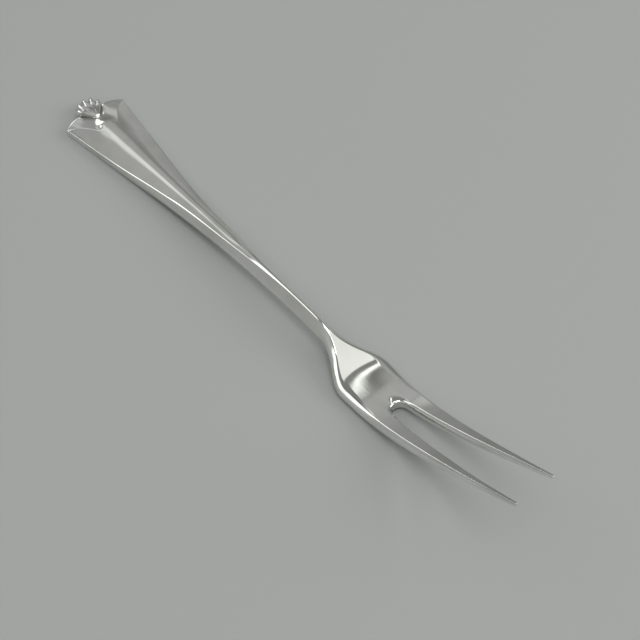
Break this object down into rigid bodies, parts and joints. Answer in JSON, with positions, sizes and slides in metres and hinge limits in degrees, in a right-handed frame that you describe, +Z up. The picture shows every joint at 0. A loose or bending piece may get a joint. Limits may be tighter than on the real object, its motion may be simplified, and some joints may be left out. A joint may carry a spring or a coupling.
{
  "type": "lemon fork",
  "caption": "Slim silver serving fork for lemon slices, with splayed upturned tines, a dished head, a rounded shank and a ridged handle that flares to bowed shoulders and a fluted fan.",
  "frame": {"origin": "on the table, under the middle of the fork's length and width, with the fork lying on its back", "axes": "+X from the fan at the butt to the tine tips, +Y to the left tine, +Z up, the way the tines turn"},
  "size_m": [0.12, 0.0124, 0.0154],
  "materials": {
    "polished_silver": "polished sterling silver with fine handling scratches",
    "shaded_silver": "polished sterling silver on the raised flutes, darkened by tarnish in the grooves"
  },
  "bodies": {
    "root": {"handle": "polished_silver", "fan_finial": "shaded_silver", "shank": "polished_silver", "head": "polished_silver", "left_tine": "polished_silver", "right_tine": "polished_silver"}
  },
  "joints": []
}
